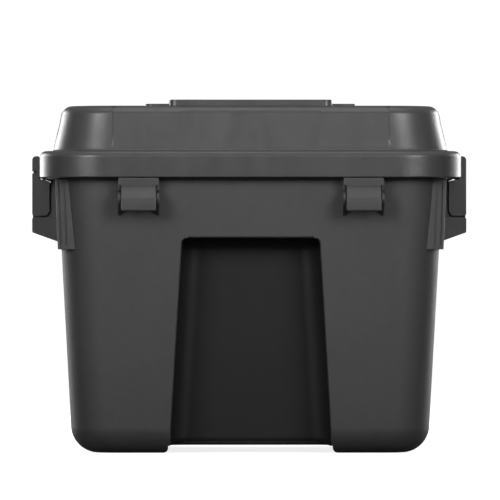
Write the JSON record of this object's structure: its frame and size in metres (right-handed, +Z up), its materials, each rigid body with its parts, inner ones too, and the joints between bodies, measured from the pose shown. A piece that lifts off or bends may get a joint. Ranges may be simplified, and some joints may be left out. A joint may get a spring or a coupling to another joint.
{
  "type": "attached lid tote",
  "caption": "Lidded storage tote: drafted tub with recessed end walls, domed stacking lid on rear hinge clips, and a lifting handle with a pivoting latch on each side.",
  "frame": {"origin": "bottom centre of the bounding box, on the floor under the tub", "axes": "+X towards the right-hand latch as seen from the hinge side (long side), -Y towards the hinge clips, +Z up"},
  "size_m": [0.4038, 0.39, 0.3246],
  "materials": {
    "tub_plastic": "fine moulded texture, dark grey",
    "lid_plastic": "fine moulded texture, dark grey",
    "liner_plastic": "plain moulded, dark grey",
    "clip_plastic": "satin moulded, mid grey",
    "side_plastic": "satin moulded, dark grey",
    "pin_steel": "zinc plated steel"
  },
  "bodies": {
    "tote": {"tote_body": "tub_plastic", "side_handle_left": "side_plastic", "side_handle_right": "side_plastic", "hinge_pin_left": "pin_steel", "hinge_pin_right": "pin_steel", "latch_pin_left": "pin_steel", "latch_pin_right": "pin_steel", "handle_screw_left_front": "pin_steel", "handle_screw_left_rear": "pin_steel", "handle_screw_right_front": "pin_steel", "handle_screw_right_rear": "pin_steel"},
    "lid": {"lid_shell": "lid_plastic", "lid_liner": "liner_plastic", "hinge_clip_left": "clip_plastic", "hinge_clip_right": "clip_plastic"},
    "latch_left_lever": {"latch_left": "side_plastic"},
    "latch_right_lever": {"latch_right": "side_plastic"}
  },
  "joints": [
    {"name": "lid_hinge", "type": "hinge", "parent": "tote", "child": "lid", "pos_m": [0, -0.184, 0.233], "axis": [1, 0, 0], "range_deg": [0, 110]},
    {"name": "latch_left_pivot", "type": "hinge", "parent": "tote", "child": "latch_left_lever", "pos_m": [-0.1969, 0.005, 0.2231], "axis": [0, -1, 0], "range_deg": [0, 90]},
    {"name": "latch_right_pivot", "type": "hinge", "parent": "tote", "child": "latch_right_lever", "pos_m": [0.1969, 0.005, 0.2231], "axis": [0, 1, 0], "range_deg": [0, 90]}
  ]
}
